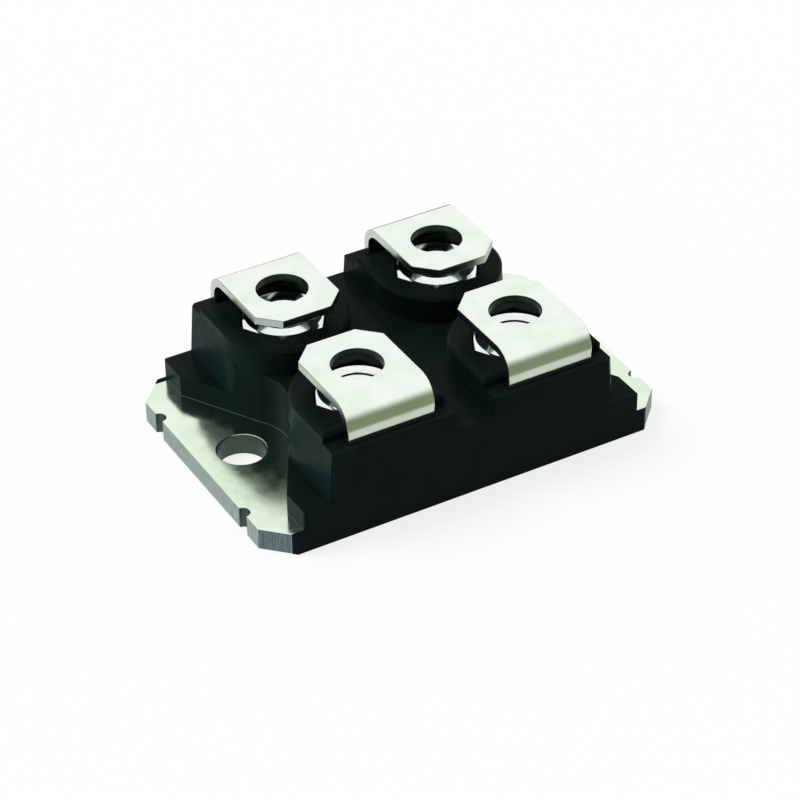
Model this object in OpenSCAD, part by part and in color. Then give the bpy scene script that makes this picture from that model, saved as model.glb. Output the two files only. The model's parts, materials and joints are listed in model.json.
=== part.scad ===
// Isolated power transistor module with four screw terminals on a metal base plate.
// The origin is the middle of the underside of the base plate.
// X runs along the module, Y across it and Z up, in millimetres.

/* [Base plate] */
// Overall length of the plate
plate_length = 38; // [37.4:0.1:39]
// Thickness of the plate
plate_thickness = 2; // [1.6:0.05:2.4]
// Size of the 45 degree cuts at the four plate corners
plate_corner = 2; // [1:0.1:3]
// Depth of the side cut-outs that the housing walls reach down into
waist_depth = 2; // [1.6:0.1:2.4]
// Length of those side cut-outs
waist_length = 26; // [22:0.5:28]
// Radius of the half-round notches in the short edges
notch_radius = 0.6; // [0.4:0.05:1]
// Distance between the two notches of one short edge
notch_spacing = 15.2; // [12:0.2:17]
// Distance from a mounting hole to the end of the plate
mount_edge = 3.9; // [3.6:0.05:4.2]
// Diameter of the mounting holes
mount_hole_d = 4.2; // [3.8:0.1:4.6]

/* [Housing] */
// Distance from the end of the plate back to the end face of the housing
body_setback = 3.05; // [2.8:0.05:3.4]
// Width of the housing over its two side faces
body_width = 25.2; // [25:0.1:26]
// Height of the lower shoulders above the underside
shoulder_height = 3.95; // [3.6:0.05:4.6]
// Height of the deck between the bosses
deck_height = 6.9; // [6.2:0.1:7.4]
// Height of the ledges that the terminal legs come out of
ledge_height = 8.6; // [8.2:0.05:8.9]
// Distance from a side face to the outer wall of a boss
ledge_depth = 1.9; // [1.6:0.1:2]
// Height of the four bosses around the nuts
boss_height = 9.35; // [9.1:0.05:9.6]
// Radius of a boss, and half its width
boss_radius = 5.65; // [5.4:0.05:5.9]
// Bevel along the top edge of a boss
boss_bevel = 0.25; // [0.1:0.05:0.5]
// Width that a boss and its ledge gain on each side from the ledge down to the shoulders
tower_flare = 0.35; // [0.1:0.05:0.5]
// Cut along the upright outer edge of a tower
tower_edge = 0.35; // [0.2:0.05:0.6]
// Radius of the four upright outer edges of the shoulders
corner_radius = 0.25; // [0.15:0.05:0.6]
// Radius of the screw head recess around a mounting hole
recess_radius = 4.1; // [3.9:0.05:4.3]
// Wall between a screw head recess and the hollow for the substrate
recess_wall = 1.2; // [0.8:0.05:1.4]
// Width of the recess where it opens at the end face
recess_mouth = 19.1; // [18:0.1:20]
// Wall of the low lips that run beside the plate up to its cut corners
lip_wall = 0.35; // [0.3:0.05:0.6]
// Height of the housing underside above the plate underside
skirt_lift = 0.05; // [0.05:0.05:0.3]

/* [Terminals] */
// Distance between terminal holes along the module
terminal_pitch_x = 15; // [14.8:0.05:15.2]
// Distance from a terminal hole to the side face of the housing
terminal_side = 6.2; // [6.1:0.05:6.4]
// Height of the terminal tops above the underside
terminal_height = 11.85; // [11.7:0.05:12.2]
// Width of a terminal strip
terminal_width = 8; // [7.6:0.1:8.6]
// Thickness of the terminal strip
terminal_thickness = 0.8; // [0.7:0.05:0.9]
// Distance from a terminal hole to the free end of the strip
terminal_reach = 4.4; // [4:0.1:4.8]
// Size of the 45 degree cuts at a terminal's free end
terminal_corner = 1.75; // [1:0.05:2.2]
// Inner radius of the bend from the top down into the leg
terminal_bend = 1.25; // [1:0.05:2]
// Diameter of the hole in a terminal
terminal_hole_d = 4.4; // [4.1:0.1:4.6]
// Distance from a side face of the housing in to the leg
leg_inset = 0.6; // [0.4:0.05:0.8]
// Depth to which the full width of a leg sits in its ledge
leg_shoulder = 1.4; // [1:0.1:2]
// Width of the narrow part of a leg and of its foot
foot_width = 2.8; // [2:0.1:3.2]
// Length of the foot that is soldered down
foot_contact = 2; // [1.4:0.1:2.4]
// Inner radius of the bend from the leg into the foot
foot_bend = 0.5; // [0.3:0.05:0.8]

/* [Nuts] */
// Nut size across its flats
nut_flats = 7; // [6.6:0.05:7.2]
// Height of a nut
nut_height = 3; // [2.8:0.05:3.2]
// Depth of the top of a nut below the top of its boss
nut_sink = 0.05; // [0:0.01:0.2]
// Diameter of the threaded bore of a nut
nut_bore_d = 3.3; // [3.2:0.05:3.5]
// Diameter of the lead-in at both ends of the bore
nut_lead_d = 4.6; // [4.2:0.05:4.8]
// Play between a nut and its pocket on each side
pocket_play = 0.1; // [0.05:0.01:0.15]
// Diameter of the room for the screw end below a nut
screw_room_d = 4.6; // [4.3:0.1:5]
// Depth of that room
screw_room_depth = 0.9; // [0.5:0.05:1]

/* [Substrate] */
// Thickness of the ceramic tile
ceramic_thickness = 0.63; // [0.4:0.01:0.8]
// Bare rim of ceramic around the copper
copper_inset = 0.4; // [0.3:0.05:0.6]
// Thickness of each copper layer
copper_thickness = 0.3; // [0.2:0.05:0.4]
// Gap between neighbouring copper pads
pad_gap = 0.8; // [0.5:0.05:1]
// Depth of the terminal pads from the copper edge inwards
pad_depth = 2.6; // [2.4:0.1:3]
// Share of the copper length that the gate pad and the sense pad take
control_pad_share = 0.36; // [0.3:0.01:0.4]
// Thickness of every solder layer
solder_thickness = 0.1; // [0.06:0.01:0.2]

/* [Chip and bond wires] */
// Share of the copper length that the transistor chip takes
die_share = 0.5; // [0.44:0.01:0.55]
// Bare copper between the long edges of the chip and of its pad
die_margin = 1.2; // [0.8:0.1:2]
// Thickness of the chip
die_thickness = 0.3; // [0.2:0.02:0.4]
// Diameter of a bond wire
wire_d = 0.3; // [0.2:0.02:0.38]
// Rise of a wire loop above the line between its two ends
wire_rise = 0.75; // [0.5:0.05:0.9]
// Distance from the chip edge in to the bond on the chip
bond_inset = 1.2; // [0.8:0.1:2]
// Distance from the inner end of the gate pad or sense pad to its bond wire
control_bond_inset = 0.7; // [0.5:0.05:1]
// Number of bond wires that carry the source current
source_wire_count = 6; // [3:1:6]

/* [Assembly] */
// Play between pieces that slot together
fit = 0.05; // [0.02:0.01:0.08]
// Thickness of the glue line between housing and plate
glue_thickness = 0.07; // [0.05:0.01:0.2]
// Width of the glue line beside the hollow
glue_strip = 0.8; // [0.5:0.05:1]
// Room between the ceramic tile and the housing wall
cavity_margin = 0.4; // [0.3:0.05:0.6]
// Room above the feet inside the housing
headroom = 0.6; // [0.4:0.05:0.7]

/* [Hidden] */
$fn = 64;

// Overshoot of a cut past the surface it opens
over = 1;
// Corners of the module as signs along X and Y
DRAIN = [1, 1];
SOURCE = [1, -1];
GATE = [-1, -1];
SENSE = [-1, 1];
CORNERS = [DRAIN, SOURCE, GATE, SENSE];

// Plate and housing
plate_width = body_width - 2 * (lip_wall + fit);
waist_width = plate_width - 2 * waist_depth;
mount_pitch = plate_length - 2 * mount_edge;
body_length = plate_length - 2 * body_setback;
terminal_pitch_y = body_width - 2 * terminal_side;
glue_top = plate_thickness + glue_thickness;

// Terminal strip, with y counted outwards from the hole
leg_y = terminal_side - leg_inset;
boss_wall_y = terminal_side - ledge_depth;
shoulder_z = ledge_height - leg_shoulder;
// Shortest straight run of a leg above its ledge
leg_straight = 0.2;
bend_inner = min(terminal_bend, terminal_height - terminal_thickness - ledge_height - leg_straight);
bend_outer = bend_inner + terminal_thickness;
foot_outer = foot_bend + terminal_thickness;

// Layers of the substrate, from the plate up
copper_z = plate_thickness + solder_thickness;
ceramic_z = copper_z + copper_thickness;
pad_z = ceramic_z + ceramic_thickness;
pad_top = pad_z + copper_thickness;
foot_z = pad_top + solder_thickness;
die_z = pad_top + solder_thickness;
die_top = die_z + die_thickness;

// Hollow of the housing
cavity_length = mount_pitch - 2 * (recess_radius + recess_wall);
cavity_width = waist_width - 2 * glue_strip;
cavity_top = foot_z + terminal_thickness + headroom;

// Plan of the substrate
ceramic_length = cavity_length - 2 * cavity_margin;
ceramic_width = cavity_width - 2 * cavity_margin;
copper_x = ceramic_length / 2 - copper_inset;
copper_y = ceramic_width / 2 - copper_inset;
pad_inner_y = copper_y - pad_depth;
chip_field_y = pad_inner_y - pad_gap;
control_end_x = copper_x * (2 * control_pad_share - 1);
power_start_x = control_end_x + pad_gap;
die_length = 2 * die_share * copper_x;
die_width = 2 * (chip_field_y - die_margin);

// Feet of the terminals, counted from the terminal hole: they end just inside the copper
pad_rim = 0.1;
foot_x = copper_x - pad_rim - foot_width / 2 - terminal_pitch_x / 2;
foot_tip_y = copper_y - foot_contact - terminal_pitch_y / 2;

// Nuts
nut_seat = boss_height - nut_sink - nut_height;
nut_corner_r = nut_flats / 2 / cos(30);
// Share of the flats that the flat end face of a nut reaches
nut_face_share = 0.95;
nut_face_r = nut_face_share * nut_flats / 2;
// Slope of a nut's outer bevel and of its lead-in
nut_bevel_angle = 30;
nut_lead_angle = 45;

// Bond wires: the flattened bond at each end of a loop
bond_width = 1.4 * wire_d;
bond_length = 2.6 * wire_d;
bond_height = 0.9 * wire_d;
wire_lift = 0.55 * wire_d;
chip_bond_y = die_width / 2 - bond_inset;
pad_bond_y = pad_inner_y + bond_length / 2 + wire_d;
// The source wires share the stretch from the start of the source pad to the far end of the chip
source_wire_x = power_start_x + 2 * wire_d;
source_wire_pitch = (die_length / 2 - bond_inset - source_wire_x) / (source_wire_count - 1);
control_wire_x = control_end_x - control_bond_inset;

// Puts a shape that is drawn for the +X +Y corner, about its terminal hole, on the given corner
module at_corner(corner) {
    mirror([corner.x < 0 ? 1 : 0, 0, 0])
        mirror([0, corner.y < 0 ? 1 : 0, 0])
            translate([terminal_pitch_x / 2, terminal_pitch_y / 2, 0])
                children();
}

// Puts a shape on both ends, about the mounting holes, with +X outwards
module at_ends() {
    for (end = [0, 1])
        mirror([end, 0, 0])
            translate([mount_pitch / 2, 0, 0])
                children();
}

// A box from x0 to x1, y0 to y1 and z0 to z1
module span_box(x0, x1, y0, y1, z0, z1) {
    translate([x0, y0, z0])
        cube([x1 - x0, y1 - y0, z1 - z0]);
}

// Raises a plan from height z0 to height z1
module layer(z0, z1) {
    translate([0, 0, z0])
        linear_extrude(height = z1 - z0)
            children();
}

// Extrudes an outline drawn in Y and Z by a width along X, centred
module along_x(width) {
    rotate([90, 0, 90])
        linear_extrude(height = width, center = true)
            children();
}

// Quarter ring in the first quadrant
module quarter_ring(outer, inner) {
    intersection() {
        difference() {
            circle(r = outer);
            circle(r = inner);
        }
        square(outer + over);
    }
}

// Plan of the base plate with its holes, cut corners, waist and edge notches
module plate_plan() {
    half_x = plate_length / 2;
    half_y = plate_width / 2;
    cut = plate_corner;
    difference() {
        polygon([
            [half_x - cut, half_y], [cut - half_x, half_y],
            [-half_x, half_y - cut], [-half_x, cut - half_y],
            [cut - half_x, -half_y], [half_x - cut, -half_y],
            [half_x, cut - half_y], [half_x, half_y - cut]
        ]);
        for (side = [0, 1])
            mirror([0, side, 0])
                translate([-waist_length / 2, waist_width / 2])
                    square([waist_length, waist_depth + over]);
        for (x = [-half_x, half_x], y = [-notch_spacing / 2, notch_spacing / 2])
            translate([x, y])
                circle(r = notch_radius);
        at_ends()
            circle(d = mount_hole_d);
    }
}

// Screw head recess about a mounting hole: a round end that opens to the end face along straight flanks
module recess_plan() {
    // The flanks aim a little inside the round end, so that they cross it cleanly
    flank_radius = recess_radius - fit;
    mouth = [body_length / 2 - mount_pitch / 2, recess_mouth / 2];
    touch_angle = atan2(mouth.y, mouth.x) + acos(flank_radius / norm(mouth));
    touch = flank_radius * [cos(touch_angle), sin(touch_angle)];
    circle(r = recess_radius);
    polygon([
        touch, mouth, [mouth.x + over, mouth.y],
        [mouth.x + over, -mouth.y], [mouth.x, -mouth.y], [touch.x, -touch.y]
    ]);
}

// Plan of the housing with its rounded outer edges, for a given length
module body_plan(length) {
    square([length - 2 * corner_radius, body_width], center = true);
    square([length, body_width - 2 * corner_radius], center = true);
    for (x = [-1, 1], y = [-1, 1])
        translate([x * (length / 2 - corner_radius), y * (body_width / 2 - corner_radius)])
            circle(r = corner_radius);
}

// Plan of the hollow for the substrate
module cavity_plan() {
    square([cavity_length, cavity_width], center = true);
}

module base_plate() {
    color("gainsboro")
        layer(0, plate_thickness)
            plate_plan();
}

// A tongue with a round inner end, from the given side outline in width and height, that runs out to y
module tongue(side, y) {
    last = len(side) - 1;
    rotate([0, 0, 180])
        rotate_extrude(angle = 180)
            polygon(concat([[0, side[0].y]], side, [[0, side[last].y]]));
    translate([0, y, 0])
        rotate([90, 0, 0])
            linear_extrude(height = y)
                polygon(concat(side, [for (i = [last:-1:0]) [-side[i].x, side[i].y]]));
}

// Lower part of a boss with its ledge: its walls lean out downwards, and its upright outer edge is cut
module tower() {
    lean = atan(tower_flare / (ledge_height - shoulder_height));
    length = norm([tower_flare, ledge_height - shoulder_height]);
    reach = tower_edge + over;
    difference() {
        tongue(
            [[boss_radius + tower_flare, shoulder_height], [boss_radius, ledge_height]],
            terminal_side
        );
        translate([boss_radius, terminal_side, ledge_height])
            rotate([0, -lean, 0])
                translate([0, 0, -length - over])
                    linear_extrude(height = length + 2 * over)
                        polygon([[-reach, over], [over, -reach], [over, over]]);
    }
}

// Upper part of a boss, with a bevelled top edge
module boss() {
    intersection() {
        tongue([
            [boss_radius, shoulder_height], [boss_radius, boss_height - boss_bevel],
            [boss_radius - boss_bevel, boss_height]
        ], boss_wall_y);
        along_x(2 * boss_radius + over)
            polygon([
                [-boss_radius, shoulder_height], [boss_wall_y, shoulder_height],
                [boss_wall_y, boss_height - boss_bevel], [boss_wall_y - boss_bevel, boss_height],
                [-boss_radius, boss_height]
            ]);
    }
}

// Room in the housing for one terminal: a wide slot, a narrow slot below it and the way in for the foot
module terminal_room() {
    outer = leg_y + fit;
    inner = leg_y - terminal_thickness - fit;
    half_wide = terminal_width / 2 + fit;
    foot_x0 = foot_x - foot_width / 2 - fit;
    foot_x1 = foot_x + foot_width / 2 + fit;
    span_box(-half_wide, half_wide, inner, outer, shoulder_z - fit, ledge_height + over);
    span_box(foot_x0, foot_x1, inner, outer, foot_z - fit, shoulder_z);
    span_box(
        foot_x0, foot_x1, cavity_width / 2 - terminal_pitch_y / 2 - over, outer,
        foot_z - fit, foot_z + foot_outer + fit
    );
}

// Room in the housing for one nut and for the end of a screw below it
module nut_room() {
    translate([0, 0, nut_seat])
        cylinder(r = nut_corner_r + pocket_play / cos(30), h = nut_height + over, $fn = 6);
    translate([0, 0, nut_seat - screw_room_depth])
        cylinder(d = screw_room_d, h = screw_room_depth + over);
}

// Walls that reach down beside the plate, and the low lips that run on to its cut corners
module skirt() {
    waist_y = waist_width / 2 + fit;
    lip_y = plate_width / 2 + fit;
    side_face = body_width / 2;
    wall_x = waist_length / 2 - fit;
    lip_x = plate_length / 2 - plate_corner;
    lip_cut = side_face - lip_y;
    for (side = [0, 1])
        mirror([0, side, 0]) {
            span_box(-wall_x, wall_x, waist_y, side_face, skirt_lift, glue_top);
            layer(skirt_lift, glue_top)
                polygon([
                    [-lip_x, lip_y], [lip_x, lip_y],
                    [lip_x - lip_cut, side_face], [lip_cut - lip_x, side_face]
                ]);
        }
}

module housing() {
    upper_length = terminal_pitch_x + 2 * boss_radius;
    color("#15191a")
        difference() {
            union() {
                skirt();
                layer(glue_top, shoulder_height)
                    body_plan(body_length);
                layer(glue_top, deck_height)
                    body_plan(upper_length);
                for (corner = CORNERS)
                    at_corner(corner) {
                        tower();
                        boss();
                    }
            }
            at_ends()
                layer(plate_thickness, boss_height + over)
                    recess_plan();
            layer(plate_thickness, cavity_top)
                cavity_plan();
            for (corner = CORNERS)
                at_corner(corner) {
                    terminal_room();
                    nut_room();
                }
        }
}

// Glue line between the foot of the housing and the plate
module sealing_adhesive() {
    color("lightgray")
        layer(plate_thickness, glue_top)
            difference() {
                intersection() {
                    plate_plan();
                    body_plan(body_length);
                }
                at_ends()
                    recess_plan();
                cavity_plan();
            }
}

// Bent sheet terminal: top with a hole, leg down through the ledge, narrow foot turned inwards
module terminal() {
    bend_y = leg_y - bend_outer;
    bend_z = terminal_height - bend_outer;
    foot_bend_y = leg_y - foot_outer;
    foot_bend_z = foot_z + foot_outer;
    cut_z = terminal_height - terminal_thickness - over;
    difference() {
        union() {
            along_x(terminal_width) {
                translate([-terminal_reach, terminal_height - terminal_thickness])
                    square([bend_y + terminal_reach, terminal_thickness]);
                translate([bend_y, bend_z])
                    quarter_ring(bend_outer, bend_inner);
                translate([leg_y - terminal_thickness, shoulder_z])
                    square([terminal_thickness, bend_z - shoulder_z]);
            }
            translate([foot_x, 0, 0])
                along_x(foot_width) {
                    translate([leg_y - terminal_thickness, foot_bend_z])
                        square([terminal_thickness, shoulder_z - foot_bend_z]);
                    translate([foot_bend_y, foot_bend_z])
                        mirror([0, 1])
                            quarter_ring(foot_outer, foot_bend);
                    translate([foot_tip_y, foot_z])
                        square([foot_bend_y - foot_tip_y, terminal_thickness]);
                }
        }
        translate([0, 0, cut_z])
            cylinder(d = terminal_hole_d, h = terminal_thickness + 2 * over);
        for (side = [0, 1])
            mirror([side, 0, 0])
                translate([terminal_width / 2, -terminal_reach, cut_z])
                    linear_extrude(height = terminal_thickness + 2 * over)
                        polygon([
                            [-terminal_corner, 0], [-terminal_corner, -over], [over, -over],
                            [over, terminal_corner], [0, terminal_corner]
                        ]);
    }
}

module terminal_drain() {
    color("whitesmoke")
        at_corner(DRAIN)
            terminal();
}

module terminal_source() {
    color("whitesmoke")
        at_corner(SOURCE)
            terminal();
}

module terminal_gate() {
    color("whitesmoke")
        at_corner(GATE)
            terminal();
}

module terminal_source_sense() {
    color("whitesmoke")
        at_corner(SENSE)
            terminal();
}

// Hexagon nut with bevelled corners and a lead-in at both ends of its bore
module nut() {
    bevel = (nut_corner_r - nut_face_r) * tan(nut_bevel_angle);
    lead = (nut_lead_d - nut_bore_d) / 2 * tan(nut_lead_angle);
    difference() {
        intersection() {
            cylinder(r = nut_corner_r, h = nut_height, $fn = 6);
            rotate_extrude()
                polygon([
                    [0, 0], [nut_face_r, 0], [nut_corner_r, bevel],
                    [nut_corner_r, nut_height - bevel], [nut_face_r, nut_height], [0, nut_height]
                ]);
        }
        translate([0, 0, -over])
            cylinder(d = nut_bore_d, h = nut_height + 2 * over);
        cylinder(d1 = nut_lead_d, d2 = nut_bore_d, h = lead);
        translate([0, 0, nut_height - lead])
            cylinder(d1 = nut_bore_d, d2 = nut_lead_d, h = lead);
    }
}

module captive_nuts() {
    color("silver")
        for (corner = CORNERS)
            at_corner(corner)
                translate([0, 0, nut_seat])
                    nut();
}

module substrate_solder() {
    color("lightsteelblue")
        span_box(-copper_x, copper_x, -copper_y, copper_y, plate_thickness, copper_z);
}

module substrate_bottom_copper() {
    color("peru")
        span_box(-copper_x, copper_x, -copper_y, copper_y, copper_z, ceramic_z);
}

module ceramic_tile() {
    color("ivory")
        span_box(
            -ceramic_length / 2, ceramic_length / 2, -ceramic_width / 2, ceramic_width / 2,
            ceramic_z, pad_z
        );
}

// Large pad below the chip, with an arm to the drain terminal
module drain_pad() {
    color("peru")
        union() {
            span_box(-copper_x, copper_x, -chip_field_y, chip_field_y, pad_z, pad_top);
            span_box(power_start_x, copper_x, 0, copper_y, pad_z, pad_top);
        }
}

module source_pad() {
    color("peru")
        span_box(power_start_x, copper_x, -copper_y, -pad_inner_y, pad_z, pad_top);
}

module gate_pad() {
    color("peru")
        span_box(-copper_x, control_end_x, -copper_y, -pad_inner_y, pad_z, pad_top);
}

module source_sense_pad() {
    color("peru")
        span_box(-copper_x, control_end_x, pad_inner_y, copper_y, pad_z, pad_top);
}

// Solder below the four terminal feet
module terminal_solder() {
    color("lightsteelblue")
        for (corner = CORNERS)
            at_corner(corner)
                translate([foot_x, foot_tip_y, pad_top])
                    translate([-foot_width / 2, 0, 0])
                        cube([foot_width, foot_contact, solder_thickness]);
}

module die_solder() {
    color("lightsteelblue")
        span_box(-die_length / 2, die_length / 2, -die_width / 2, die_width / 2, pad_top, die_z);
}

module mosfet_die() {
    color("slategray")
        span_box(-die_length / 2, die_length / 2, -die_width / 2, die_width / 2, die_z, die_top);
}

// Wire loop from the chip out to a pad along +Y, as one arc between two flattened bonds
module bond_wire() {
    start = [chip_bond_y, die_top + wire_lift];
    end = [pad_bond_y, pad_top + wire_lift];
    chord = end - start;
    length = norm(chord);
    tilt = atan2(chord.y, chord.x);
    loop_radius = (length * length / 4 + wire_rise * wire_rise) / (2 * wire_rise);
    half_angle = asin(length / 2 / loop_radius);
    centre = (start + end) / 2 - (loop_radius - wire_rise) * [-sin(tilt), cos(tilt)];
    translate([0, centre.x, centre.y])
        rotate([90, 0, 90])
            rotate([0, 0, tilt + 90 - half_angle])
                rotate_extrude(angle = 2 * half_angle)
                    translate([loop_radius, 0])
                        circle(d = wire_d, $fn = 16);
    for (bond = [[chip_bond_y, die_top], [pad_bond_y, pad_top]])
        translate([-bond_width / 2, bond.x - bond_length / 2, bond.y])
            cube([bond_width, bond_length, bond_height]);
}

module source_bond_wires() {
    color("lightgray")
        for (i = [0:source_wire_count - 1])
            translate([source_wire_x + i * source_wire_pitch, 0, 0])
                mirror([0, 1, 0])
                    bond_wire();
}

module gate_bond_wire() {
    color("lightgray")
        translate([control_wire_x, 0, 0])
            mirror([0, 1, 0])
                bond_wire();
}

module source_sense_bond_wire() {
    color("lightgray")
        translate([control_wire_x, 0, 0])
            bond_wire();
}

// Soft filling of the hollow around the chip, the wires and the feet
module silicone_gel() {
    color("azure", 0.5)
        difference() {
            layer(plate_thickness, cavity_top)
                cavity_plan();
            substrate_solder();
            substrate_bottom_copper();
            ceramic_tile();
            drain_pad();
            source_pad();
            gate_pad();
            source_sense_pad();
            terminal_solder();
            die_solder();
            mosfet_die();
            source_bond_wires();
            gate_bond_wire();
            source_sense_bond_wire();
            for (corner = CORNERS)
                at_corner(corner)
                    terminal();
        }
}

base_plate();
housing();
sealing_adhesive();
terminal_drain();
terminal_source();
terminal_gate();
terminal_source_sense();
captive_nuts();
substrate_solder();
substrate_bottom_copper();
ceramic_tile();
drain_pad();
source_pad();
gate_pad();
source_sense_pad();
terminal_solder();
die_solder();
mosfet_die();
source_bond_wires();
gate_bond_wire();
source_sense_bond_wire();
silicone_gel();
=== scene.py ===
import json
import math

import bmesh
import bpy
from mathutils import Matrix, Vector

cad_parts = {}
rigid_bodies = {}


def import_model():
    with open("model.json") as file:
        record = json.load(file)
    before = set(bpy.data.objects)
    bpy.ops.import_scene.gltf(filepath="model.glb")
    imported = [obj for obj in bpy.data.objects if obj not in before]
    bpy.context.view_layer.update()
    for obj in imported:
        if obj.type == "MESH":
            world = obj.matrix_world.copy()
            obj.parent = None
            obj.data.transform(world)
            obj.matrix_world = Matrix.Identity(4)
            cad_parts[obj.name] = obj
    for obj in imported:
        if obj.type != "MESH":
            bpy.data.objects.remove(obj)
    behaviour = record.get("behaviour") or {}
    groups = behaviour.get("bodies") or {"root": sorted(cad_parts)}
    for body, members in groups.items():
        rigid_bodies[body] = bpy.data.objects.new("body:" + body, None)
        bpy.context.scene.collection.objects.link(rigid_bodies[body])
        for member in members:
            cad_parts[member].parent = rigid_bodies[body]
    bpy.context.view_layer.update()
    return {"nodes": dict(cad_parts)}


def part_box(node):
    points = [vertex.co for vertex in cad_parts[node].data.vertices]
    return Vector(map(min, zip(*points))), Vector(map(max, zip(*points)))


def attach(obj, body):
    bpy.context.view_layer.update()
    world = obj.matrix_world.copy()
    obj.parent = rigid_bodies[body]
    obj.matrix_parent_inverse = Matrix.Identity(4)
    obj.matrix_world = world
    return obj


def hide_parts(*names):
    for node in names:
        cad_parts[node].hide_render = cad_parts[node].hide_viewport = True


MM = 0.001
WHITE = (1.0, 1.0, 1.0)

# View of the photograph: angles in degrees, lengths in metres, and the shift of the picture's middle
AZIMUTH, ELEVATION, ROLL = -29.60, 35.57, -0.73
DISTANCE = 259.9 * MM
FOCAL_PIXELS, IMAGE_PIXELS, SENSOR = 3077.0, 800.0, 36.0
AIM_HEIGHT = 5 * MM
AIM = (0.10 * MM, -2.84 * MM)
CLIP_START, CLIP_END = 0.01, 10.0

# M4 nuts, in mm: flats, corners and chamfered faces
NUT_FLATS = 7.0
NUT_FACE_R = 0.95 * NUT_FLATS / 2
NUT_CORNER_R = 3.97
NUT_CHAMFER = math.radians(30)
# Bore of a nut: mouth, thread, depth of the step at the mouth, and depth down to which the lead-in is bright;
# the step and the thread take the darker thread colour as painted shade in the bore
NUT_LEAD_R = 2.3
NUT_MINOR_R = 1.65
NUT_PITCH = 0.7
NUT_DEPTH = 0.35
NUT_FLANK = math.radians(30)
NUT_STEP, NUT_BRIGHT = 0.2, 0.45
# Fineness of a nut's mesh, and the angle from which an edge stays sharp
NUT_STEPS, NUT_LAYERS = 96, 72
NUT_CREASE = math.radians(24)

# Bores whose walls are darkened as painted shade, in mm: place in x and y, and radius. Each stands for its
# mirrored copies too
PLATE_BORES = ((15.1, 0.0, 2.1), (19.0, 7.6, 0.6))
SCREW_HOLES = ((7.5, 6.4, 2.2),)
BORE_NEAR, BORE_FAR = 0.05, 0.15

# Housing: colour pairs of faces and of end faces, whose paler teal is painted light, pale specks, and the
# length in mm over which the painted light on the ends begins
HOUSING_FACE = (0.0036, 0.0068, 0.0060), (0.0050, 0.0088, 0.0080)
HOUSING_END_PAINTED_LIGHT = (0.0045, 0.0125, 0.0112), (0.0060, 0.0155, 0.0142)
HOUSING_SPECK = (0.010, 0.016, 0.015)
HOUSING_PAINTED_LIGHT_X = 9.0, 11.5
HOUSING_EDGE_R = 0.07

# Terminals: colour pairs of the plated sheet, of its cut edges and of the hole walls, which are dark as painted
# shade
SHEET = (0.88, 0.95, 0.87), (0.80, 0.88, 0.78)
SHEET_EDGE = (0.48, 0.54, 0.48), (0.60, 0.66, 0.59)
SHEET_BORE_SHADE = (0.035, 0.066, 0.044), (0.080, 0.125, 0.090)
# A steep face nearer to the middle than this, in mm, is the cut tip of the strip and not its bent leg
SHEET_TIP_Y = 9.0

# Plate: colour pairs of the face, of the streaked edges and of the cut corners, darker as painted shade, and
# the wall of its bores, dark as painted shade
PLATE_FACE = (0.82, 0.92, 0.78), (0.73, 0.88, 0.69)
PLATE_EDGE = (0.15, 0.21, 0.19), (0.40, 0.50, 0.46)
PLATE_CORNER_SHADE = (0.07, 0.10, 0.11), (0.18, 0.23, 0.24)
PLATE_BORE_SHADE = (0.06, 0.09, 0.07)

# Rounded edges: width in mm, segments, and the least angle of an edge that is rounded
TERMINALS = "terminal_drain", "terminal_source", "terminal_gate", "terminal_source_sense"
ROUNDED = {
    "housing": (0.09, 2, 38.0),
    "base_plate": (0.10, 3, 32.0),
    **{name: (0.09, 3, 32.0) for name in TERMINALS},
    "sealing_adhesive": (0.02, 2, 32.0),
}
JOIN_GAP = 0.0005
FLAT_ANGLE = 0.2

# Floor: half its side in metres, its colour, and how much of it is plain white to the camera
FLOOR_HALF = 0.6
FLOOR_COLOUR = (0.97, 0.97, 0.97)
FLOOR_PLAIN = 0.80
# As metal mirrors it, in mm: how much farther it stays white past the ends, and where it starts and ends to dim
FLOOR_LONGER = 6.4
FLOOR_DIM = 13, 31

# Surroundings as metal mirrors them: the dim front, how far it leans, and the heights between which it clears
HORIZON = (0.228, 0.262, 0.166)
SKY_LEAN = 0.5
SKY_DIM, SKY_CLEAR = -0.32, 0.42
SKY_LIGHT = (0.5, 0.5, 0.5)

# Key lamp: strength, spread in degrees and the direction it shines from
KEY_STRENGTH = 2.0
KEY_SPREAD = 28
KEY_FROM = (-0.45, 0.35, 0.82)


def clear_scene():
    for o in list(bpy.data.objects):
        bpy.data.objects.remove(o, do_unlink=True)


def add_object(name, data):
    obj = bpy.data.objects.new(name, data)
    bpy.context.scene.collection.objects.link(obj)
    return obj


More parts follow.
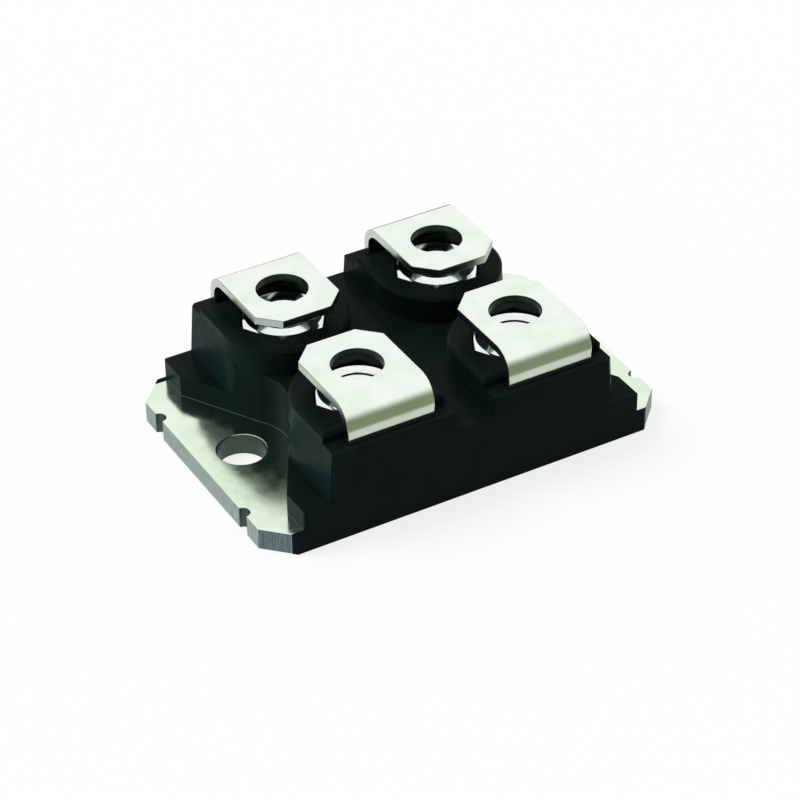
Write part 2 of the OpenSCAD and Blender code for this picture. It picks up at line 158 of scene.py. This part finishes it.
class Shader:
    """A node tree with short calls for the nodes used here."""

    def __init__(self, tree):
        self.tree = tree
        self.tree.nodes.clear()

    def node(self, kind, **settings):
        n = self.tree.nodes.new(kind)
        for key, value in settings.items():
            setattr(n, key, value)
        return n

    def link(self, source, target):
        self.tree.links.new(source, target)

    def put(self, socket, value):
        if hasattr(value, "is_output"):
            self.link(value, socket)
        else:
            socket.default_value = value

    def math(self, operation, a, b=0.0):
        n = self.node("ShaderNodeMath", operation=operation)
        self.put(n.inputs[0], a)
        self.put(n.inputs[1], b)
        return n.outputs[0]

    def ramp(self, value, low, high, to_low=0.0, to_high=1.0, smooth=True):
        n = self.node("ShaderNodeMapRange", interpolation_type="SMOOTHSTEP" if smooth else "LINEAR")
        for socket, v in zip(n.inputs[:5], (value, low, high, to_low, to_high)):
            self.put(socket, v)
        return n.outputs[0]

    def mix(self, factor, a, b):
        """Colour between a and b."""
        n = self.node("ShaderNodeMix", data_type="RGBA")
        self.put(n.inputs["Factor"], factor)
        for socket, v in ((n.inputs[6], a), (n.inputs[7], b)):
            self.put(socket, v if hasattr(v, "is_output") else (*v, 1.0))
        return n.outputs[2]

    def mix_value(self, factor, a, b):
        """Number between a and b."""
        n = self.node("ShaderNodeMix", data_type="FLOAT")
        self.put(n.inputs["Factor"], factor)
        self.put(n.inputs[2], a)
        self.put(n.inputs[3], b)
        return n.outputs[0]

    def drift(self, noise, colours, low=0.3, high=0.7):
        """Colour that drifts between a pair of colours with a noise."""
        return self.mix(self.ramp(noise, low, high), *colours)

    def place(self):
        return self.node("ShaderNodeTexCoord").outputs["Object"]

    def noise(self, size, detail=2.0, rough=0.5, stretch=(1.0, 1.0, 1.0)):
        """Noise whose grains are about size millimetres, longer along an axis by its stretch."""
        m = self.node("ShaderNodeMapping")
        self.link(self.place(), m.inputs["Vector"])
        m.inputs["Scale"].default_value = [1.0 / (size * MM * s) for s in stretch]
        n = self.node("ShaderNodeTexNoise")
        self.link(m.outputs[0], n.inputs["Vector"])
        n.inputs["Scale"].default_value = 1.0
        n.inputs["Detail"].default_value = detail
        n.inputs["Roughness"].default_value = rough
        return n.outputs["Fac"]

    def bump(self, height, depth, normal=None):
        """Relief of depth millimetres."""
        n = self.node("ShaderNodeBump")
        n.inputs["Strength"].default_value = 1.0
        n.inputs["Distance"].default_value = depth * MM
        self.link(height, n.inputs["Height"])
        if normal is not None:
            self.link(normal, n.inputs["Normal"])
        return n.outputs[0]

    def axes(self, vector):
        s = self.node("ShaderNodeSeparateXYZ")
        self.link(vector, s.inputs[0])
        return s.outputs

    def normal_axes(self):
        """How far the surface faces along each axis, either way."""
        normal = self.node("ShaderNodeNewGeometry").outputs["Normal"]
        return [self.math("ABSOLUTE", v) for v in self.axes(normal)]

    def place_axes(self):
        return self.axes(self.place())


def new_material(name, **sockets):
    """A principled material, with the given numbers set on its own sockets."""
    m = bpy.data.materials.new(name)
    m.use_nodes = True
    s = Shader(m.node_tree)
    p = s.node("ShaderNodeBsdfPrincipled")
    out = s.node("ShaderNodeOutputMaterial")
    s.link(p.outputs[0], out.inputs[0])
    for key, value in sockets.items():
        socket = p.inputs[key.replace("_", " ")]
        socket.default_value = (*value, 1.0) if isinstance(value, tuple) else value
    return m, s, p


def housing_material():
    """Black moulded plastic, with painted light making its end faces a little paler and more teal."""
    m, s, p = new_material("moulded_black", Specular_IOR_Level=0.028, Specular_Tint=(0.40, 1.0, 0.97),
                           Sheen_Weight=0.04, Sheen_Roughness=0.35, Sheen_Tint=(0.20, 1.0, 0.92))
    cloud = s.noise(3.0, 3.0)
    grain = s.noise(0.11, 2.0, 0.6)
    flow = s.noise(0.9, 3.0, 0.6)
    specks = s.ramp(s.noise(0.16, 1.0), 0.70, 0.76)

    begin, full = HOUSING_PAINTED_LIGHT_X
    outer = s.ramp(s.math("ABSOLUTE", s.place_axes()[0]), begin * MM, full * MM)
    # painted light: faces along x near the outer ends take the paler teal end colour
    end = s.math("MULTIPLY", s.ramp(s.normal_axes()[0], 0.6, 0.9), outer)
    colour = s.mix(end, s.drift(cloud, HOUSING_FACE), s.drift(cloud, HOUSING_END_PAINTED_LIGHT))
    s.link(s.mix(specks, colour, HOUSING_SPECK), p.inputs["Base Color"])
    s.link(s.ramp(flow, 0.25, 0.75, 0.24, 0.36), p.inputs["Roughness"])

    edges = s.node("ShaderNodeBevel", samples=6)
    edges.inputs["Radius"].default_value = HOUSING_EDGE_R * MM
    s.link(s.bump(grain, 0.004, s.bump(cloud, 0.006, edges.outputs[0])), p.inputs["Normal"])
    return m


def terminal_material():
    """Plated sheet with drawing lines and sheared edges, with painted shade on its hole walls."""
    m, s, p = new_material("plated_strip", Metallic=1.0)
    nx, _, nz = s.normal_axes()
    x, y, _ = s.place_axes()
    in_tip = s.math("LESS_THAN", s.math("ABSOLUTE", y), SHEET_TIP_Y * MM)
    tip = s.math("MULTIPLY", in_tip, s.math("LESS_THAN", nz, 0.6))
    # painted shade on the steep walls of the screw holes
    bore = s.math("MULTIPLY", painted_bore_shade(s, x, y, SCREW_HOLES), s.ramp(nz, 0.5, 0.8, 1.0, 0.0))
    cut = s.math("MAXIMUM", s.math("MAXIMUM", s.ramp(nx, 0.35, 0.75), tip), bore)

    cloud = s.noise(2.4, 3.0)
    lines = s.noise(0.05, 2.0, 0.6, (1.0, 90.0, 90.0))
    shear = s.noise(0.06, 2.0, 0.7, (1.0, 1.0, 12.0))
    edge = s.mix(bore, s.drift(shear, SHEET_EDGE), s.drift(shear, SHEET_BORE_SHADE))
    s.link(s.mix(cut, s.drift(cloud, SHEET, 0.3, 0.75), edge), p.inputs["Base Color"])

    worn = s.math("ADD", s.math("MULTIPLY", lines, 0.5), s.math("MULTIPLY", cloud, 0.5))
    rough_sheet = s.ramp(worn, 0.3, 0.7, 0.09, 0.16)
    rough_edge = s.math("ADD", s.ramp(shear, 0.3, 0.7, 0.14, 0.24), s.math("MULTIPLY", bore, 0.18))
    s.link(s.mix_value(cut, rough_sheet, rough_edge), p.inputs["Roughness"])

    relief = s.math("MULTIPLY", lines, s.math("SUBTRACT", 1.0, cut))
    s.link(s.bump(relief, 0.0006, s.bump(cloud, 0.003)), p.inputs["Normal"])
    return m


def plate_material():
    """Plated copper with rolling lines and streaked cut edges, with painted shade on the cut corners and in the
    bores.
    """
    m, s, p = new_material("plated_plate", Metallic=1.0)
    nx, ny, nz = s.normal_axes()
    x, y, _ = s.place_axes()
    cut = s.ramp(nz, 0.4, 0.8, 1.0, 0.0)
    # painted shade: the slanted corner faces, facing front, are coloured darker than the other cut edges
    corner_shade = s.math("MULTIPLY", s.ramp(nx, 0.5, 0.6), s.ramp(ny, 0.5, 0.6))

    cloud = s.noise(3.5, 1.0)
    fine = s.noise(0.12, 2.0, 0.6)
    lines = s.noise(0.07, 2.0, 0.6, (60.0, 1.0, 1.0))
    shear = s.noise(0.09, 2.0, 0.7, (1.0, 1.0, 14.0))
    edge = s.mix(corner_shade, s.drift(shear, PLATE_EDGE), s.drift(shear, PLATE_CORNER_SHADE))
    # painted shade on the walls of the bores and the notches
    edge = s.mix(painted_bore_shade(s, x, y, PLATE_BORES), edge, PLATE_BORE_SHADE)
    s.link(s.mix(cut, s.drift(cloud, PLATE_FACE), edge), p.inputs["Base Color"])

    rough_face = s.ramp(s.noise(0.8, 3.0, 0.6), 0.25, 0.75, 0.12, 0.20)
    rough_edge = s.ramp(shear, 0.3, 0.7, 0.28, 0.42)
    s.link(s.mix_value(cut, rough_face, rough_edge), p.inputs["Roughness"])
    s.link(s.bump(fine, 0.0010, s.bump(lines, 0.0008, s.bump(cloud, 0.002))), p.inputs["Normal"])
    return m


def painted_bore_shade(s, x, y, bores):
    """1 at the walls of the given bores, where painted shade darkens them."""
    ax = s.math("ABSOLUTE", x)
    ay = s.math("ABSOLUTE", y)
    mask = None
    for cx, cy, r in bores:
        dx = s.math("SUBTRACT", ax, cx * MM)
        dy = s.math("SUBTRACT", ay, cy * MM)
        d = s.math("SQRT", s.math("ADD", s.math("MULTIPLY", dx, dx), s.math("MULTIPLY", dy, dy)))
        near = s.ramp(d, (r + BORE_FAR) * MM, (r + BORE_NEAR) * MM)
        mask = near if mask is None else s.math("MAXIMUM", mask, near)
    return mask


def grained(m, s, p, cloud_size, size, colours, rough, depth):
    """Gives a material cloudy colour, grainy roughness and fine relief."""
    cloud = s.noise(cloud_size, 3.0)
    grain = s.noise(size, 2.0, 0.6)
    s.link(s.drift(cloud, colours), p.inputs["Base Color"])
    s.link(s.ramp(grain, 0.3, 0.7, *rough), p.inputs["Roughness"])
    s.link(s.bump(grain, depth), p.inputs["Normal"])
    return m


def metal(name, light, dark, rough, size, depth):
    return grained(*new_material(name, Metallic=1.0), size * 12, size, (light, dark), rough, depth)


def dull(name, light, dark, rough, size, depth, **sockets):
    return grained(*new_material(name, **sockets), size * 8, size, (light, dark), rough, depth)


def soften(obj, width, segments, angle):
    """Joins the tessellated faces and rounds the sharp edges of a CAD node, which keeps its own vertices."""
    weld = obj.modifiers.new("join", "WELD")
    weld.merge_threshold = JOIN_GAP * MM
    flat = obj.modifiers.new("flats", "DECIMATE")
    flat.decimate_type = "DISSOLVE"
    flat.angle_limit = math.radians(FLAT_ANGLE)
    bevel = obj.modifiers.new("round", "BEVEL")
    bevel.limit_method = "ANGLE"
    bevel.angle_limit = math.radians(angle)
    bevel.width = width * MM
    bevel.segments = segments
    bevel.use_clamp_overlap = True
    obj.modifiers.new("shade", "WEIGHTED_NORMAL").keep_sharp = True


def dress(obj, material):
    obj.data.materials.clear()
    obj.data.materials.append(material)


def nut_radius(turn):
    """Outer radius of a nut at a turn, with slightly broken corners."""
    sixth = math.pi / 3
    off = (turn % sixth) - sixth / 2
    return min(NUT_FLATS / 2 / math.cos(off), NUT_CORNER_R)


def thread_radius(turn, height, rise):
    """Radius of the bore: the thread, opened by a small step and a 45 degree lead-in at both ends."""
    along = (height - NUT_PITCH * turn / (2 * math.pi)) % NUT_PITCH
    off = min(along, NUT_PITCH - along)
    groove = (off - NUT_PITCH / 8) / math.tan(NUT_FLANK)
    radius = NUT_MINOR_R + min(max(groove, 0.0), NUT_DEPTH)
    return max(radius, NUT_LEAD_R - max(min(height, rise - height) - NUT_STEP, 0.0))


def add_nut(bm, centre, low, high):
    """One nut as rings of points: up the bore, over the top, down the flats and back along the low face."""
    rise = high - low
    turns = [2 * math.pi * i / NUT_STEPS for i in range(NUT_STEPS)]

    def drop(t):
        return (nut_radius(t) - NUT_FACE_R) * math.tan(NUT_CHAMFER)

    def ring(radius, height):
        return [bm.verts.new(((centre[0] + radius(t) * math.cos(t)) * MM,
                              (centre[1] + radius(t) * math.sin(t)) * MM,
                              (low + height(t)) * MM)) for t in turns]

    def bright(h):
        return NUT_STEP < min(h, rise - h) < NUT_BRIGHT

    bore = []
    for k in range(NUT_LAYERS + 1):
        h = rise * k / NUT_LAYERS
        bore.append(ring(lambda t: thread_radius(t, h, rise), lambda t: h))
    rim_top = ring(lambda t: NUT_FACE_R, lambda t: rise)
    side_top = ring(nut_radius, lambda t: rise - drop(t))
    side_low = ring(nut_radius, drop)
    rim_low = ring(lambda t: NUT_FACE_R, lambda t: 0.0)
    rings = bore + [rim_top, side_top, side_low, rim_low, bore[0]]
    for k, (a, b) in enumerate(zip(rings, rings[1:])):
        # painted shade: bore faces outside the bright lead-in band, the step at the mouth included, take the
        # darker thread metal
        threaded = k < NUT_LAYERS and not bright(rise * (k + 0.5) / NUT_LAYERS)
        for i in range(NUT_STEPS):
            j = (i + 1) % NUT_STEPS
            f = bm.faces.new((a[i], a[j], b[j], b[i]))
            f.material_index = 1 if threaded else 0
            f.smooth = True


def threaded_nuts(face, thread):
    """The four nuts in the places of the plain ones, with threads in their bores."""
    lo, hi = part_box("captive_nuts")
    reach_x = hi.x / MM - NUT_FLATS / 2 / math.cos(math.pi / 6)
    reach_y = hi.y / MM - NUT_FLATS / 2
    bm = bmesh.new()
    for sx in (1, -1):
        for sy in (1, -1):
            add_nut(bm, (sx * reach_x, sy * reach_y), lo.z / MM, hi.z / MM)
    bmesh.ops.recalc_face_normals(bm, faces=bm.faces)
    for e in bm.edges:
        e.smooth = e.calc_face_angle(0.0) < NUT_CREASE
    mesh = bpy.data.meshes.new("captive_nuts_threaded")
    mesh.materials.append(face)
    mesh.materials.append(thread)
    bm.to_mesh(mesh)
    bm.free()
    obj = add_object("captive_nuts_threaded", mesh)
    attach(obj, "root")
    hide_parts("captive_nuts")


def mirrored_ray(s, path):
    """1 for rays that a surface mirrors or lets through."""
    return s.math("MAXIMUM", path.outputs["Is Glossy Ray"], path.outputs["Is Transmission Ray"])


def make_floor():
    """A white floor that keeps the shadow, and that metal sees dim away from the part."""
    corners = [(x * FLOOR_HALF, y * FLOOR_HALF, 0) for x, y in ((-1, -1), (1, -1), (1, 1), (-1, 1))]
    mesh = bpy.data.meshes.new("floor")
    mesh.from_pydata(corners, [], [(0, 1, 2, 3)])
    floor = add_object("floor", mesh)
    m = bpy.data.materials.new("pale_floor")
    m.use_nodes = True
    s = Shader(m.node_tree)
    path = s.node("ShaderNodeLightPath")
    camera = path.outputs["Is Camera Ray"]
    diffuse = s.node("ShaderNodeBsdfDiffuse")
    diffuse.inputs["Color"].default_value = (*FLOOR_COLOUR, 1.0)

    x, y, _ = s.place_axes()
    beyond_end = s.math("SUBTRACT", s.math("ABSOLUTE", x), FLOOR_LONGER * MM)
    away = s.math("MAXIMUM", beyond_end, s.math("MULTIPLY", y, -1.0))
    dim = s.ramp(away, FLOOR_DIM[0] * MM, FLOOR_DIM[1] * MM, smooth=False)
    glow = s.node("ShaderNodeEmission")
    s.link(s.mix(camera, s.mix(dim, WHITE, HORIZON), WHITE), glow.inputs["Color"])

    shown = s.math("MAXIMUM", camera, mirrored_ray(s, path))
    unseen_dim = s.math("MULTIPLY", dim, s.math("SUBTRACT", 1.0, camera))
    mix = s.node("ShaderNodeMixShader")
    s.link(s.math("MULTIPLY", shown, s.math("MAXIMUM", unseen_dim, FLOOR_PLAIN)), mix.inputs[0])
    s.link(diffuse.outputs[0], mix.inputs[1])
    s.link(glow.outputs[0], mix.inputs[2])
    out = s.node("ShaderNodeOutputMaterial")
    s.link(mix.outputs[0], out.inputs[0])
    dress(floor, m)


def make_sky():
    """White to the camera, plain light on the part, and dim low in front where metal mirrors it."""
    world = bpy.data.worlds.new("studio")
    bpy.context.scene.world = world
    world.use_nodes = True
    s = Shader(world.node_tree)
    path = s.node("ShaderNodeLightPath")
    _, y, z = s.axes(s.node("ShaderNodeTexCoord").outputs["Generated"])
    height = s.math("ADD", z, s.math("MULTIPLY", y, SKY_LEAN))
    dim = s.ramp(height, SKY_DIM, SKY_CLEAR, 1.0, 0.0)
    lit = s.mix(mirrored_ray(s, path), SKY_LIGHT, s.mix(dim, WHITE, HORIZON))
    back = s.node("ShaderNodeBackground")
    s.link(s.mix(path.outputs["Is Camera Ray"], lit, WHITE), back.inputs["Color"])
    out = s.node("ShaderNodeOutputWorld")
    s.link(back.outputs[0], out.inputs[0])


def make_key():
    """A broad lamp that lights the part and is not mirrored in it."""
    lamp = bpy.data.lights.new("key", "SUN")
    lamp.energy = KEY_STRENGTH
    lamp.angle = math.radians(KEY_SPREAD)
    key = add_object("key", lamp)
    key.visible_glossy = False
    key.rotation_mode = "QUATERNION"
    key.rotation_quaternion = Vector(KEY_FROM).to_track_quat("Z", "Y")


def make_camera():
    a, e, r = (math.radians(v) for v in (AZIMUTH, ELEVATION, ROLL))
    back = Vector((math.sin(a) * math.cos(e), -math.cos(a) * math.cos(e), math.sin(e)))
    right = Vector((math.cos(a), math.sin(a), 0.0))
    up = back.cross(right)
    right, up = right * math.cos(r) + up * math.sin(r), up * math.cos(r) - right * math.sin(r)
    target = Vector((0.0, 0.0, AIM_HEIGHT)) + right * AIM[0] + up * AIM[1]
    data = bpy.data.cameras.new("camera")
    data.sensor_width = SENSOR
    data.lens = FOCAL_PIXELS / IMAGE_PIXELS * SENSOR
    data.clip_start, data.clip_end = CLIP_START, CLIP_END
    cam = add_object("camera", data)
    turn = Matrix((right, up, back)).transposed().to_4x4()
    cam.matrix_world = Matrix.Translation(target + back * DISTANCE) @ turn
    bpy.context.scene.camera = cam


clear_scene()
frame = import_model()
nodes = frame["nodes"]
bpy.context.scene.view_settings.view_transform = "Standard"

nickel = terminal_material()
copper = metal("copper_foil", (0.80, 0.45, 0.31), (0.70, 0.37, 0.25), (0.28, 0.42), 0.08, 0.001)
solder = metal("solder", (0.62, 0.62, 0.60), (0.50, 0.50, 0.49), (0.30, 0.50), 0.10, 0.004)
wire = metal("aluminium_wire", (0.84, 0.85, 0.86), (0.76, 0.77, 0.79), (0.22, 0.36), 0.05, 0.001)
chip = metal("silicon_chip", (0.20, 0.21, 0.25), (0.15, 0.16, 0.19), (0.10, 0.20), 0.2, 0.0005)
glue = dull("sealing_glue", (0.055, 0.074, 0.067), (0.038, 0.052, 0.047), (0.45, 0.65), 0.15, 0.01)
alumina = dull("alumina", (0.86, 0.86, 0.83), (0.80, 0.80, 0.78), (0.5, 0.7), 0.05, 0.002)
gel = dull("clear_gel", (0.86, 0.88, 0.88), (0.80, 0.83, 0.84), (0.05, 0.12), 0.6, 0.01,
           Transmission_Weight=0.9, IOR=1.41)

LOOKS = {
    "base_plate": plate_material(),
    "housing": housing_material(),
    "sealing_adhesive": glue,
    **{name: nickel for name in TERMINALS},
    "substrate_solder": solder,
    "terminal_solder": solder,
    "die_solder": solder,
    "substrate_bottom_copper": copper,
    "drain_pad": copper,
    "source_pad": copper,
    "gate_pad": copper,
    "source_sense_pad": copper,
    "ceramic_tile": alumina,
    "mosfet_die": chip,
    "source_bond_wires": wire,
    "gate_bond_wire": wire,
    "source_sense_bond_wire": wire,
    "silicone_gel": gel,
}
for name, look in LOOKS.items():
    dress(nodes[name], look)
for name, (width, segments, angle) in ROUNDED.items():
    soften(nodes[name], width, segments, angle)

threaded_nuts(
    face=metal("nut_zinc", (0.88, 0.95, 0.92), (0.80, 0.87, 0.84), (0.07, 0.13), 0.10, 0.0003),
    thread=metal("nut_thread_shade", (0.42, 0.40, 0.36), (0.32, 0.30, 0.27), (0.22, 0.36), 0.08, 0.002))

make_floor()
make_sky()
make_key()
make_camera()

bpy.context.view_layer.update()
